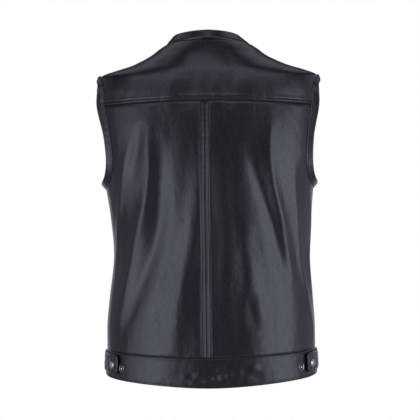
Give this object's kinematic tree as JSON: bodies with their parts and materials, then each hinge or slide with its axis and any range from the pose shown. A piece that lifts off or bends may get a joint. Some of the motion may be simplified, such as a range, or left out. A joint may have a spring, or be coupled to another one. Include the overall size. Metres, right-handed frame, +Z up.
{
  "type": "leather vest",
  "caption": "Sleeveless black leather vest, filled out as worn, with a yoke, lapped centre-back seam, bound armholes, stand collar, waistband and snapped side tabs.",
  "frame": {"origin": "middle of the neck, level with the collar seam at the back, where the wearer's shoulders hold the vest", "axes": "+Z up, the front faces -Y, +X is the wearer's left"},
  "size_m": [0.4504, 0.2726, 0.6832],
  "materials": {
    "leather": "semi-gloss black smooth leather with a fine grain",
    "binding": "semi-gloss black leather binding, folded over the edge",
    "snap_metal": "polished nickel snap caps"
  },
  "bodies": {
    "root": {"armhole_binding_left": "binding", "armhole_binding_right": "binding", "back_panel_left": "leather", "back_panel_right": "leather", "band_snap_left": "snap_metal", "band_snap_right": "snap_metal", "collar": "leather", "front_panel_left": "leather", "front_panel_right": "leather", "front_snap_1": "snap_metal", "front_snap_2": "snap_metal", "front_snap_3": "snap_metal", "front_snap_4": "snap_metal", "front_snap_5": "snap_metal", "front_snap_6": "snap_metal", "tab_left": "leather", "tab_left_snap": "snap_metal", "tab_right": "leather", "tab_right_snap": "snap_metal", "waistband_back": "leather", "waistband_front_left": "leather", "waistband_front_right": "leather", "yoke": "leather"}
  },
  "joints": []
}
